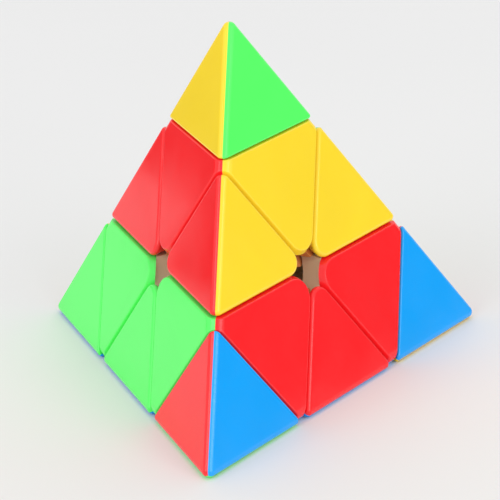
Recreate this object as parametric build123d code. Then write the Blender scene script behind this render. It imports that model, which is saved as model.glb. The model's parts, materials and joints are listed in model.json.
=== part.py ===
from build123d import *
import math
import os

os.makedirs("parts", exist_ok=True)

# ---------------------------------------------------------------- dimensions
OVERALL = 98.0            # across two rounded points of the pyramid
R_EDGE = 1.5              # rounding along the six long edges of the pyramid
R_POINT = 1.4495          # how far one rounded point stands back, per mm of R_EDGE
SHARP = OVERALL + 2 * R_POINT * R_EDGE      # edge of the sharp pyramid
CIRC = SHARP * math.sqrt(6) / 4             # centre to sharp point
INR = CIRC / 3                              # centre to face
D_LAYER = CIRC / 9                          # layer cut, measured from the centre
D_TIP = 5 * CIRC / 9                        # tip cut, measured from the centre
GAP = 0.15                # half of the running gap beside every cut
R_CORNER = 4.5            # rounded inner corner of an axial piece, round the hole in each face
R_INNER = 3.5             # rounded inner edge of an edge piece
WALL_TOP = 21.5           # solid part of an edge shell ends this far from the centre
R_RIM = 0.9               # rounding along the border of an edge shell
R_RIM_TIP = 0.5           # the same on a tip shell
R_RIM_AXIAL = 0.35        # the same on an axial shell
R_EDGE_AXIAL = 2.6        # long-edge rounding of an axial piece, set back from its neighbours
T_FACE = 2.0              # coloured shell, wall under the face
T_SIDE = 1.6              # coloured shell, side walls
T_SEAM = 1.2              # coloured shell, wall along the colour seam

R_CORE = 10.4             # ball in the middle
R_FOOT_IN = 10.9          # edge foot, inner radius
R_FOOT_OUT = 14.4         # edge foot, outer radius
R_HUB_IN = 14.8           # hub flange, inner radius
R_HUB_OUT = 19.9          # hub flange, outer radius
TOE = 4.5                 # hubs and edge necks stop this far short of the middle of a face
R_NECK_OUT = 18.0         # edge neck, outer radius
D_FOOT = 4.2              # rim of a foot, measured like the layer cut
FOOT_HALF = 9.0           # half length of a foot across the edge

ARM_R = 3.4               # core arm radius
ARM_TOP = 14.4
SHANK_R = 1.3             # screw shank
SCREW_LOW = 4.5
SEAT = 17.4               # floor of the hub bore
SPRING_R = 3.3
SPRING_WIRE = 0.4
SPRING_TURNS = 4.5
WASH_LOW = 22.6
WASH_T = 0.8
WASH_R = 4.2
HEAD_H = 2.0
HEAD_R = 3.2
HUB_FLAT = 7.4            # axis to the three flats of the hub
HUB_ROUND = 10.0          # corners of the hub
BORE_R = 4.9              # wide part of the hub bore
LIP_LOW = 30.0            # underside of the snap lip
LIP_R = 4.2
STEM_R = 3.9              # stem of a tip
BEAD_R = 4.6
BEAD_LOW = 27.0
BEAD_TOP = 29.6
SLOT_W = 1.2
TIP_FLAT = 5.0            # axis to the three flats of the tip frame
TIP_ROUND = 7.0
TIP_POST = 8.0            # height of the tip frame
RIB_T = 2.4               # half size of the edge rib along the edge
RIB_S = 3.0               # half size of the edge rib across the edge
RIB_TOP = 27.0            # top of the edge rib, from the centre


# ---------------------------------------------------------------- directions
# The origin is the middle of the core, where the four turning axes meet; the
# base face lies in the plane z = -INR.
def vec(*a):
    return Vector(*a)


S3 = math.sqrt(3) / 2
HZ = 2 * math.sqrt(2) / 3
N = {
    "top": vec(0, 0, 1),
    "front": vec(0, -HZ, -1 / 3),
    "left": vec(-HZ * S3, HZ / 2, -1 / 3),
    "right": vec(HZ * S3, HZ / 2, -1 / 3),
}
# face name -> the point of the pyramid it lies opposite to
FACE = {"lf": "right", "rf": "left", "bk": "front", "dn": "top"}


ORDER = ["top", "front", "left", "right"]


def turn(mapping):
    """Rotation that sends each named direction to its partner."""
    # images of the x and z axes from the images of the four directions
    z = N[mapping["top"]]
    x = (N[mapping["right"]] - N[mapping["left"]]).normalized()
    return Plane(origin=(0, 0, 0), x_dir=x, z_dir=z).location


def proper(pairs):
    """Complete a partial mapping to a proper rotation of the pyramid."""
    left_src = [k for k in ORDER if k not in pairs]
    left_dst = [k for k in ORDER if k not in pairs.values()]
    for dst in (left_dst, left_dst[::-1]):
        m = dict(pairs)
        m.update(dict(zip(left_src, dst)))
        perm = [m[k] for k in ORDER]
        inv = sum(1 for i in range(4) for j in range(i + 1, 4)
                  if ORDER.index(perm[i]) > ORDER.index(perm[j]))
        if inv % 2 == 0:
            return turn(m)
    raise ValueError("no rotation")


# ---------------------------------------------------------------- primitives
BIG = 300.0


def below(n, d):
    """Everything with n.x <= d."""
    n = n.normalized()
    return Plane(origin=n * d, z_dir=n).location * Pos(0, 0, -BIG / 2) * Box(BIG, BIG, BIG)


def carve(solid, planes):
    for n, d in planes:
        k = n.length
        solid = solid & below(n, d / k)
    return solid


def axis_loc(n, d=0.0):
    return Plane(origin=n * d, z_dir=n).location


def rod(n, r, lo, hi):
    return axis_loc(n, (lo + hi) / 2) * Cylinder(r, hi - lo)


def sharp_pyramid():
    s = Box(BIG, BIG, BIG)
    for k in ORDER:
        s = s & below(-N[k], INR)
    return s


def rounded_pyramid(radius):
    s = sharp_pyramid()
    return fillet(s.edges(), radius)


BODY = rounded_pyramid(R_EDGE)
AXIAL_BODY = rounded_pyramid(R_EDGE_AXIAL)




def in_face(n, face):
    """Part of n lying in the plane square to face."""
    return (n - face * n.dot(face)).normalized()


def on_round(p, face, radius):
    """Point on the rounded strip between this face and a neighbour, short of the colour seam."""
    for k in ORDER:
        n = -N[k]
        if (n - face).length < 1e-6:
            continue
        m = (n + face).normalized()
        reach = INR / m.dot(face) - radius / math.sin(math.radians(35.26439))
        along = n.cross(face).normalized()
        rel = p - m * reach
        rel = rel - along * rel.dot(along)
        if abs(rel.length - radius) < 2e-3 and rel.dot(m) > 0:
            return True
    return False


def keep_biggest(s):
    sol = s.solids()
    return max(sol, key=lambda q: q.volume)


def hollow(shell, face, side_planes, seam_planes, limit, spare=None):
    """Cavity offset inwards from every wall and open towards the inside."""
    planes = [(face, INR - T_FACE)]
    planes += [(n, d - T_SIDE * n.length) for n, d in side_planes]
    planes += [(n, d - T_SEAM * n.length) for n, d in seam_planes]
    cav = carve(Box(BIG, BIG, BIG), planes) - Sphere(limit)
    if spare is not None:
        cav = cav - spare
    return keep_biggest(shell - cav)


# ---------------------------------------------------------------- coloured shell, axial piece
# built for the top axial piece, face opposite the left point
FN = -N["left"]


def axial_shell():
    walls = [(N[k], D_LAYER - GAP) for k in ("front", "right", "left")]
    side = [(-N["top"], -(D_LAYER + GAP)), (N["top"], D_TIP - GAP)] + walls
    seam = [(N["left"] - N["front"], 0.0), (N["left"] - N["right"], 0.0)]
    u = in_face(-N["left"], N["top"])
    raw = carve(AXIAL_BODY, side)
    raw = keep_biggest(fillet(shared_edges(raw, walls), R_CORNER))
    edges = whole_rim(raw, [-N[k] for k in ("left", "right", "front")], side, R_EDGE_AXIAL)
    s = fillet(edges, R_RIM_AXIAL)
    print("axial shell rim edges", len(edges), "valid", s.is_valid)
    s = keep_biggest(carve(s, seam + [(-u, -HUB_FLAT)]) - Sphere(R_HUB_OUT + 0.05))
    # the bottom wall of the cavity also stays clear of the flange
    return hollow(s, FN, side[:4], seam, R_HUB_OUT + 0.05 + T_SIDE)


# edge piece between the top and front points, face opposite the left point
def edge_shell():
    side = [(-N["top"], -(D_LAYER + GAP)), (-N["front"], -(D_LAYER + GAP))]
    seam = [(N["left"] - N["right"], 0.0)]
    raw = carve(BODY, side)
    raw = keep_biggest(fillet(shared_edges(raw, side), R_INNER))
    edges = whole_rim(raw, [-N["left"], -N["right"]], side, R_EDGE)
    s = fillet(edges, R_RIM)
    print("edge shell rim edges", len(edges), "valid", s.is_valid)
    s = keep_biggest(carve(s, seam) - Sphere(R_NECK_OUT + 0.05))
    s = hollow(s, FN, side, seam, R_NECK_OUT + 0.05 + T_SIDE, inner_wall())
    return keep_biggest(s - edge_rib())


def shared_edges(solid, walls):
    """Edges in which two of the walls meet."""
    return [e for e in solid.edges()
            if sum(all(abs((e @ t).dot(n) - d) < 1e-3 for t in (0.1, 0.9)) for n, d in walls) == 2]


def whole_rim(solid, faces, side, radius):
    """Border of every outer face of a whole piece, long-edge crossings included."""
    picked = []
    for e in solid.edges():
        pts = [e @ t for t in (0.02, 0.5, 0.98)]
        walls = sum(all(abs(p.dot(n) - d) < 1e-3 for p in pts) for n, d in side)
        on_face = any(all(abs(p.dot(f) - INR) < 1e-3 for p in pts) for f in faces)
        if on_face and (walls or e.geom_type != GeomType.LINE):
            picked.append(e)
        elif walls == 1 and any(all(on_round(p, f, radius) for p in pts) for f in faces):
            picked.append(e)
    return picked


def inner_wall():
    """Keeps the wall thick where the inner edge is rounded."""
    m, t, s = edge_axes()
    return axis_loc(m, 10.0) * Box(40, 40, 2 * (WALL_TOP - 10.0))


def edge_axes():
    m = (N["top"] + N["front"]).normalized()
    t = (N["top"] - N["front"]).normalized()
    return m, t, m.cross(t).normalized()


def edge_rib():
    m, t, s = edge_axes()
    lo = 16.0
    return (Plane(origin=m * ((lo + RIB_TOP) / 2), x_dir=t, z_dir=m).location
            * Box(2 * RIB_T, 2 * RIB_S, RIB_TOP - lo))


# tip, face opposite the left point
def tip_shell():
    side = [(-N["top"], -(D_TIP + GAP))]
    seam = [(N["left"] - N["front"], 0.0), (N["left"] - N["right"], 0.0)]
    raw = keep_biggest(carve(BODY, side))
    edges = whole_rim(raw, [-N[k] for k in ("left", "right", "front")], side, R_EDGE)
    s = fillet(edges, R_RIM_TIP)
    print("tip shell rim edges", len(edges), "valid", s.is_valid)
    s = keep_biggest(carve(s, seam))
    s = hollow(s, FN, side, seam, 1.0)
    return keep_biggest(s - tip_post())


def tip_post():
    top = D_TIP + GAP + TIP_POST
    p = rod(N["top"], TIP_ROUND, D_TIP + GAP, top)
    for k in ("front", "left", "right"):
        p = p & below(in_face(-N[k], N["top"]), TIP_FLAT)
    return p


# ---------------------------------------------------------------- inner pieces
def tip_frame():
    p = tip_post()
    stem = rod(N["top"], STEM_R, BEAD_LOW, D_TIP + GAP + 1.0)
    bead = rod(N["top"], BEAD_R, BEAD_LOW + 1.2, BEAD_TOP)
    nose = axis_loc(N["top"], BEAD_LOW + 0.6) * Cone(STEM_R - 0.3, BEAD_R, 1.2)
    s = p + stem + bead + nose
    for a in (0, 90):
        s = s - (Pos(0, 0, (BEAD_LOW - 1 + 33.0) / 2) * Rot(0, 0, a)
                 * Box(SLOT_W, 3 * BEAD_R, 33.0 - BEAD_LOW + 1))
    s = s - rod(N["top"], 1.8, BEAD_LOW - 1, 34.0)
    return keep_biggest(s)


def hub():
    n = N["top"]
    s = Sphere(R_HUB_OUT) + carve(rod(n, HUB_ROUND, 12.0, D_TIP - GAP),
                                  [(in_face(-N[k], n), HUB_FLAT) for k in ("front", "left", "right")])
    s = carve(s, [(-n, -(D_LAYER + GAP))] + [(N[k], D_LAYER - GAP) for k in ("front", "left", "right")])
    s = s - Sphere(R_HUB_IN)
    for k in ("front", "left", "right"):
        s = s & below(-in_face(n, -N[k]), -TOE)
    s = s - rod(n, BORE_R, SEAT, LIP_LOW) - rod(n, LIP_R, LIP_LOW - 0.5, D_TIP + 1)
    s = s - rod(n, 1.9, 12.0, SEAT + 1)
    return keep_biggest(s)


def edge_foot():
    m, t, sdir = edge_axes()
    foot = carve(Sphere(R_FOOT_OUT) - Sphere(R_FOOT_IN),
                 [(-N["top"], -D_FOOT), (-N["front"], -D_FOOT), (sdir, FOOT_HALF), (-sdir, FOOT_HALF)])
    neck = carve(Sphere(R_NECK_OUT) - Sphere(R_FOOT_OUT - 0.6),
                 [(-N["top"], -(D_LAYER + GAP)), (-N["front"], -(D_LAYER + GAP))]
                 + [(-in_face(m, -N[k]), -TOE) for k in ("left", "right")])
    rib = edge_rib() - Sphere(R_NECK_OUT - 1.0)
    rib = carve(rib, [(-N["top"], -(D_LAYER + GAP)), (-N["front"], -(D_LAYER + GAP))])
    return keep_biggest(foot + neck + rib)


def core():
    s = Sphere(R_CORE)
    for k in ORDER:
        s = s + rod(N[k], ARM_R, 6.0, ARM_TOP)
    for k in ORDER:
        s = s - rod(N[k], SHANK_R, SCREW_LOW, ARM_TOP + 1)
    return keep_biggest(s)


def screw(n):
    low = WASH_LOW + WASH_T
    s = rod(n, SHANK_R, SCREW_LOW, low + 0.1) + rod(n, HEAD_R, low, low + HEAD_H)
    loc = axis_loc(n, low + HEAD_H - 0.5)
    s = s - loc * Box(3.6, 0.8, 1.4) - loc * Box(0.8, 3.6, 1.4)
    return s


def washer(n):
    return rod(n, WASH_R, WASH_LOW, WASH_LOW + WASH_T) - rod(n, SHANK_R + 0.3, WASH_LOW - 1, WASH_LOW + 2)


def spring(n):
    lo = SEAT + 0.3 + SPRING_WIRE
    hi = WASH_LOW - SPRING_WIRE
    path = Helix(pitch=(hi - lo) / SPRING_TURNS, height=hi - lo, radius=SPRING_R)
    prof = Plane(origin=path @ 0, z_dir=path % 0) * Circle(SPRING_WIRE)
    coil = sweep(prof, path=path)
    return axis_loc(n, lo) * coil


# ---------------------------------------------------------------- build and write
def write(name, shape):
    export_step(shape, os.path.join("parts", name + ".step"))


def group(shapes):
    return Compound(children=list(shapes))


AXIAL, EDGE, TIP = axial_shell(), edge_shell(), tip_shell()
HUB, FOOT, STEM, CORE = hub(), edge_foot(), tip_frame(), core()
for label, s in (("axial shell", AXIAL), ("edge shell", EDGE), ("tip shell", TIP),
                 ("hub", HUB), ("foot", FOOT), ("tip frame", STEM), ("core", CORE)):
    print(label, "volume %.1f" % s.volume, "valid", s.is_valid, "faces", len(s.faces()))

write("core", CORE)
for name, make in (("tension_screws", screw), ("spring_washers", washer), ("tension_springs", spring)):
    export_step(group([make(N[k]) for k in ORDER]), os.path.join("parts", name + ".step"))

for a in ORDER:
    write("hub_" + a, proper({"top": a}) * HUB)
    write("tip_frame_" + a, proper({"top": a}) * STEM)
    for f, c in FACE.items():
        if c == a:
            continue
        loc = proper({"top": a, "left": c})
        write("axial_%s_shell_%s" % (a, f), loc * AXIAL)
        write("tip_%s_shell_%s" % (a, f), loc * TIP)

for i, a in enumerate(ORDER):
    for b in ORDER[i + 1:]:
        nm = "%s_%s" % (a, b)
        write("edge_%s_foot" % nm, proper({"top": a, "front": b}) * FOOT)
        for f, c in FACE.items():
            if c in (a, b):
                continue
            loc = None
            for p, q in ((a, b), (b, a)):
                rest = [k for k in ORDER if k not in (p, q, c)][0]
                m = {"top": p, "front": q, "left": c, "right": rest}
                perm = [ORDER.index(m[k]) for k in ORDER]
                inv = sum(1 for x in range(4) for y in range(x + 1, 4) if perm[x] > perm[y])
                if inv % 2 == 0:
                    loc = turn(m)
            write("edge_%s_shell_%s" % (nm, f), loc * EDGE)
print("written")
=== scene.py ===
import json
import math

import bpy
from mathutils import Matrix, Vector


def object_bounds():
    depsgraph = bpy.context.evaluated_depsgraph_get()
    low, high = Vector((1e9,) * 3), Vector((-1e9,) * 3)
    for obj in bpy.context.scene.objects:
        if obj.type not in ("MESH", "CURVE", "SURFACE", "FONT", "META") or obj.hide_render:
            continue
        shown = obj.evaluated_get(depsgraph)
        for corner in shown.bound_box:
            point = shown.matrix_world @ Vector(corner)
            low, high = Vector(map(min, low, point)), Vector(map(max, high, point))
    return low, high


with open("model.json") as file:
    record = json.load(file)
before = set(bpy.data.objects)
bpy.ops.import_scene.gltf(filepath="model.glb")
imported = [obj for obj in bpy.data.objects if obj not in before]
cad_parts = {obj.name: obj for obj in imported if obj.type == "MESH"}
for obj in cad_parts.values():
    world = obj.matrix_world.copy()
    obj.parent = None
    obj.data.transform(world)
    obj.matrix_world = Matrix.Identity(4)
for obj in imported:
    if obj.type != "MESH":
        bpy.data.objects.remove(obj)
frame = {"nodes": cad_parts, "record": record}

CAD_BOX = [list(map(float, c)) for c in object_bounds()]
scene = bpy.context.scene
nodes = frame["nodes"]
record = frame["record"]
slot_of = {s["node"]: s["material_slot"] for s in record["subparts"]}


# ------------------------------------------------------------------ materials
class Tree:
    """Small helper to write node trees."""

    def __init__(self, name):
        self.mat = bpy.data.materials.new(name)
        self.mat.use_nodes = True
        self.nt = self.mat.node_tree
        self.nt.nodes.clear()
        self.out = self.nt.nodes.new("ShaderNodeOutputMaterial")
        self.bsdf = self.nt.nodes.new("ShaderNodeBsdfPrincipled")
        self.nt.links.new(self.bsdf.outputs[0], self.out.inputs["Surface"])

    def add(self, kind, **props):
        n = self.nt.nodes.new(kind)
        for k, v in props.items():
            setattr(n, k, v)
        return n

    def link(self, a, b):
        self.nt.links.new(a, b)

    def noise(self, vec, scale, detail=2.0, rough=0.5, distort=0.0):
        n = self.add("ShaderNodeTexNoise")
        n.inputs["Scale"].default_value = scale
        n.inputs["Detail"].default_value = detail
        n.inputs["Roughness"].default_value = rough
        n.inputs["Distortion"].default_value = distort
        self.link(vec, n.inputs["Vector"])
        return n.outputs["Fac"]

    def ramp(self, fac, lo, hi, a=0.0, b=1.0):
        m = self.add("ShaderNodeMapRange", clamp=True)
        m.inputs["From Min"].default_value = lo
        m.inputs["From Max"].default_value = hi
        m.inputs["To Min"].default_value = a
        m.inputs["To Max"].default_value = b
        self.link(fac, m.inputs["Value"])
        return m.outputs["Result"]

    def math(self, op, a, b=None):
        m = self.add("ShaderNodeMath", operation=op)
        for i, v in enumerate((a, b)):
            if v is None:
                continue
            if isinstance(v, (int, float)):
                m.inputs[i].default_value = v
            else:
                self.link(v, m.inputs[i])
        return m.outputs[0]

    def mix(self, fac, a, b):
        m = self.add("ShaderNodeMix", data_type="RGBA")
        if isinstance(fac, (int, float)):
            m.inputs[0].default_value = fac
        else:
            self.link(fac, m.inputs[0])
        for sock, v in ((m.inputs[6], a), (m.inputs[7], b)):
            if isinstance(v, tuple):
                sock.default_value = v
            else:
                self.link(v, sock)
        return m.outputs[2]

    def coords(self, stretch=None, turn=(0, 0, 0)):
        t = self.add("ShaderNodeTexCoord")
        if stretch is None:
            return t.outputs["Object"]
        m = self.add("ShaderNodeMapping")
        m.inputs["Scale"].default_value = stretch
        m.inputs["Rotation"].default_value = turn
        self.link(t.outputs["Object"], m.inputs["Vector"])
        return m.outputs["Vector"]

    def bump(self, height, strength, distance, normal=None):
        b = self.add("ShaderNodeBump")
        b.inputs["Strength"].default_value = strength
        b.inputs["Distance"].default_value = distance
        self.link(height, b.inputs["Height"])
        if normal is not None:
            self.link(normal, b.inputs["Normal"])
        return b.outputs["Normal"]


def rgba(c, k=1.0):
    return tuple(min(1.0, max(0.0, x * k)) for x in c[:3]) + (1.0,)


def scratches(t, angle, scale, lo=0.70, hi=0.74):
    """Short hairlines: a long thin noise cut at its crests and broken up by a second one."""
    v = t.coords((scale * 0.06, scale, scale), (angle, angle * 0.7, angle * 1.3))
    line = t.ramp(t.noise(v, 1.0, 1.0, 0.4), lo, hi)
    gate = t.ramp(t.noise(t.coords(), 60.0, 1.0), 0.52, 0.62)
    return t.math("MULTIPLY", line, gate)


def moulded(name, colour, rough=0.2, seed=0.0):
    """Polished ABS: orange peel, hairline handling marks, a painted highlight on the rims and a faint flow in the
    colour.
    """
    t = Tree(name)
    obj = t.coords()
    shifted = t.add("ShaderNodeMapping")
    shifted.inputs["Location"].default_value = (seed, seed * 1.7, -seed)
    t.link(obj, shifted.inputs["Vector"])
    vec = shifted.outputs["Vector"]

    flow = t.noise(vec, 38.0, 3.0, 0.55, 0.6)
    grain = t.noise(vec, 900.0, 2.0, 0.5)
    smudge = t.noise(vec, 110.0, 4.0, 0.6, 0.4)
    marks = t.math("MAXIMUM", scratches(t, 0.5 + seed, 2600.0), scratches(t, 2.1 + seed, 3100.0))

    # pigment varies very slightly through the moulding
    base = t.mix(t.ramp(flow, 0.35, 0.65), rgba(colour, 0.975), rgba(colour, 1.02))
    base = t.mix(t.math("MULTIPLY", t.ramp(grain, 0.35, 0.7), 0.035), base, rgba([c * 0.8 + 0.05 for c in colour]))

    # painted highlight: the rims are painted a lighter tint, made uneven by the smudge noise; the same rim mask
    # also makes the rims a little rougher
    bev = t.add("ShaderNodeBevel", samples=4)
    bev.inputs["Radius"].default_value = 0.00045
    geo = t.add("ShaderNodeNewGeometry")
    dot = t.add("ShaderNodeVectorMath", operation="DOT_PRODUCT")
    t.link(bev.outputs[0], dot.inputs[0])
    t.link(geo.outputs["Normal"], dot.inputs[1])
    rim_highlight_and_rub = t.ramp(t.math("SUBTRACT", 1.0, dot.outputs["Value"]), 0.01, 0.12)
    rim_highlight_and_rub = t.math("MULTIPLY", rim_highlight_and_rub, t.ramp(smudge, 0.35, 0.6, 0.35, 1.0))
    # the painted highlight on the rims
    base = t.mix(t.math("MULTIPLY", rim_highlight_and_rub, 0.12), base, rgba([c * 0.7 + 0.3 for c in colour]))
    base = t.mix(t.math("MULTIPLY", marks, 0.03), base, rgba([c * 0.85 + 0.15 for c in colour]))
    t.link(base, t.bsdf.inputs["Base Color"])

    r = t.ramp(smudge, 0.3, 0.7, rough - 0.035, rough + 0.05)
    r = t.math("ADD", r, t.math("MULTIPLY", marks, 0.07))
    r = t.math("ADD", r, t.math("MULTIPLY", rim_highlight_and_rub, 0.06))
    t.link(r, t.bsdf.inputs["Roughness"])

    n = t.bump(t.noise(vec, 420.0, 2.0, 0.5), 0.06, 0.00005)
    n = t.bump(grain, 0.07, 0.00002, n)
    n = t.bump(marks, 0.08, 0.00001, n)
    t.link(n, t.bsdf.inputs["Normal"])
    t.bsdf.inputs["IOR"].default_value = 1.5
    t.bsdf.inputs["Specular IOR Level"].default_value = 0.5
    return t.mat


def metal(name, colour, rough, stretch):
    """Plated steel: turning or drawing lines, small pits and a slight tarnish."""
    t = Tree(name)
    lines = t.noise(t.coords(stretch), 1.0, 3.0, 0.6)
    pits = t.ramp(t.noise(t.coords(), 1500.0, 2.0), 0.62, 0.72)
    tarnish = t.ramp(t.noise(t.coords(), 260.0, 3.0), 0.4, 0.7)
    base = t.mix(t.math("MULTIPLY", tarnish, 0.35), rgba(colour), rgba([c * 0.72 for c in colour]))
    base = t.mix(t.math("MULTIPLY", pits, 0.3), base, rgba([c * 0.4 for c in colour]))
    t.link(base, t.bsdf.inputs["Base Color"])
    t.bsdf.inputs["Metallic"].default_value = 1.0
    t.link(t.math("ADD", t.ramp(lines, 0.3, 0.7, rough - 0.06, rough + 0.1), t.math("MULTIPLY", pits, 0.15)),
           t.bsdf.inputs["Roughness"])
    t.link(t.bump(lines, 0.3, 0.00002), t.bsdf.inputs["Normal"])
    return t.mat


RED = (0.99, 0.017, 0.022)
GREEN = (0.100, 0.985, 0.140)
BLUE = (0.006, 0.372, 0.95)
YELLOW = (0.99, 0.715, 0.030)
CREAM = (0.92, 0.79, 0.58)
FOOT_PAINTED_BOUNCE_SHADE = (0.80, 0.30, 0.09)     # edge feet: painted shade and painted bounce light, a dark warm tone standing in for the red and yellow light and the shade under the edge shells

MATS = {
    "shell_red": moulded("shell_red_moulded", RED, 0.13, 0.11),
    "shell_green": moulded("shell_green_moulded", GREEN, 0.14, 0.37),
    "shell_blue": moulded("shell_blue_moulded", BLUE, 0.13, 0.53),
    "shell_yellow": moulded("shell_yellow_moulded", YELLOW, 0.14, 0.71),
    "inner_white": moulded("inner_white_moulded", CREAM, 0.34, 0.91),
    # feet: painted shade and painted bounce light in their colour
    "foot_painted_bounce_shade": moulded("foot_painted_bounce_shade_moulded", FOOT_PAINTED_BOUNCE_SHADE, 0.36, 0.83),
    "screw_steel": metal("screw_steel_turned", (0.62, 0.62, 0.64), 0.28, (900, 900, 4000)),
    "washer_steel": metal("washer_steel_pressed", (0.66, 0.66, 0.67), 0.32, (2500, 2500, 2500)),
    "spring_steel": metal("spring_steel_drawn", (0.55, 0.55, 0.57), 0.30, (5000, 300, 300)),
}

# the edge feet take the colour with painted shade and painted bounce light
for name, obj in nodes.items():
    for s in obj.material_slots:
        s.material = MATS["foot_painted_bounce_shade" if name.endswith("_foot") else slot_of[name]]


# ------------------------------------------------------------------ stage
low = CAD_BOX[0][2]


def plane(name, size, loc, rot=(0, 0, 0)):
    h = size / 2
    me = bpy.data.meshes.new(name)
    me.from_pydata([(-h, -h, 0), (h, -h, 0), (h, h, 0), (-h, h, 0)], [], [(0, 1, 2, 3)])
    o = bpy.data.objects.new(name, me)
    o.location = loc
    o.rotation_euler = rot
    scene.collection.objects.link(o)
    return o


def floor_material():
    t = Tree("studio_floor")
    fine = t.noise(t.coords(), 900.0, 3.0, 0.6)
    broad = t.noise(t.coords(), 5.0, 2.0, 0.5)
    base = t.mix(t.ramp(broad, 0.3, 0.7), (0.81, 0.81, 0.81, 1), (0.825, 0.825, 0.825, 1))
    # painted shade: the sweep is painted a touch warmer and darker towards the front
    split = t.add("ShaderNodeSeparateXYZ")
    t.link(t.coords(), split.inputs[0])
    base = t.mix(t.ramp(split.outputs["Y"], -0.22, 0.02, 1.0, 0.0), base, (0.785, 0.77, 0.745, 1))
    t.link(base, t.bsdf.inputs["Base Color"])
    t.bsdf.inputs["Roughness"].default_value = 0.62
    t.bsdf.inputs["Specular IOR Level"].default_value = 0.2
    t.link(t.bump(fine, 0.05, 0.0001), t.bsdf.inputs["Normal"])
    return t.mat


floor = plane("studio_floor", 8.0, (0, 0, low - 0.00005))
floor.data.materials.append(floor_material())


def area(name, loc, target, size, power, colour=(1, 1, 1)):
    d = bpy.data.lights.new(name, "AREA")
    d.shape = "RECTANGLE"
    d.size, d.size_y = size
    d.energy = power
    d.color = colour
    o = bpy.data.objects.new(name, d)
    o.location = loc
    o.rotation_euler = (Vector(target) - Vector(loc)).to_track_quat("-Z", "Y").to_euler()
    scene.collection.objects.link(o)
    return o


# name: place, aim, size, power
LIGHTS = {
    "key_left": ((-0.80, -0.95, 0.55), (0, 0, 0.02), (0.9, 0.9), 5.0),
    "key_right": ((0.95, -0.90, 0.55), (0, 0, 0.02), (0.9, 0.9), 5.75),
    "top": ((0.0, 0.05, 1.3), (0, 0, 0), (1.5, 1.5), 0.9),
    "back": ((0.0, 1.15, 0.95), (0, 0, 0.02), (1.4, 0.7), 2.0),
}
WORLD = 0.785
for light, (place, aim, size, power) in LIGHTS.items():
    area(light, place, aim, size, power)

world = bpy.data.worlds.new("studio")
scene.world = world
world.use_nodes = True
bg = world.node_tree.nodes["Background"]
bg.inputs["Color"].default_value = (1.0, 1.0, 1.0, 1)
bg.inputs["Strength"].default_value = WORLD


def black_card(name, azimuth, dist, s0, s1, z0, z1, shade):
    """Upright dark card beside the set: it only darkens what the faces mirror."""
    t = Tree(name)
    t.bsdf.inputs["Base Color"].default_value = (shade, shade, shade, 1)
    t.bsdf.inputs["Roughness"].default_value = 0.9
    t.bsdf.inputs["Specular IOR Level"].default_value = 0.1
    a = math.radians(azimuth)
    c = Vector((math.cos(a) * dist, math.sin(a) * dist, low))
    u = Vector((-math.sin(a), math.cos(a), 0))
    me = bpy.data.meshes.new(name)
    me.from_pydata([tuple(c + u * s0 + Vector((0, 0, z0))), tuple(c + u * s1 + Vector((0, 0, z0))),
                    tuple(c + u * s1 + Vector((0, 0, z1))), tuple(c + u * s0 + Vector((0, 0, z1)))],
                   [], [(0, 1, 2, 3)])
    me.materials.append(t.mat)
    o = bpy.data.objects.new(name, me)
    scene.collection.objects.link(o)
    o.visible_camera = False
    o.visible_diffuse = False
    o.visible_shadow = False


# azimuth, distance, extent across, bottom and top above the floor, shade
CARDS = {
    "card_right": (16.0, 0.42, -0.20, 0.20, 0.001, 0.16, 0.05),
    "card_left_near": (148.0, 0.25, 0.0185, 0.11, 0.001, 0.12, 0.03),
    "card_left_far": (148.0, 0.34, -0.06, 0.019, 0.015, 0.12, 0.08),
}
for card, spec in CARDS.items():
    black_card(card, *spec)

scene.view_settings.view_transform = "Standard"
scene.view_settings.look = "None"
scene.view_settings.exposure = 0.0
scene.view_settings.gamma = 1.0

# ------------------------------------------------------------------ camera
cam_data = bpy.data.cameras.new("camera")
cam = bpy.data.objects.new("camera", cam_data)
scene.collection.objects.link(cam)
right = Vector((0.989171, 0.139206, -0.046492)).normalized()
up = Vector((-0.010607, 0.383761, 0.923372)).normalized()
back = right.cross(up).normalized()
up = back.cross(right).normalized()
cam.matrix_world = Matrix((
    (right.x, up.x, back.x, 0.086115),
    (right.y, up.y, back.y, -0.524225),
    (right.z, up.z, back.z, 0.225786),
    (0, 0, 0, 1)))
cam_data.sensor_width = 36.0
cam_data.sensor_fit = "HORIZONTAL"
cam_data.lens = 36.0 * 2598.0 / 500.0
cam_data.clip_start = 0.01
cam_data.clip_end = 50
scene.camera = cam
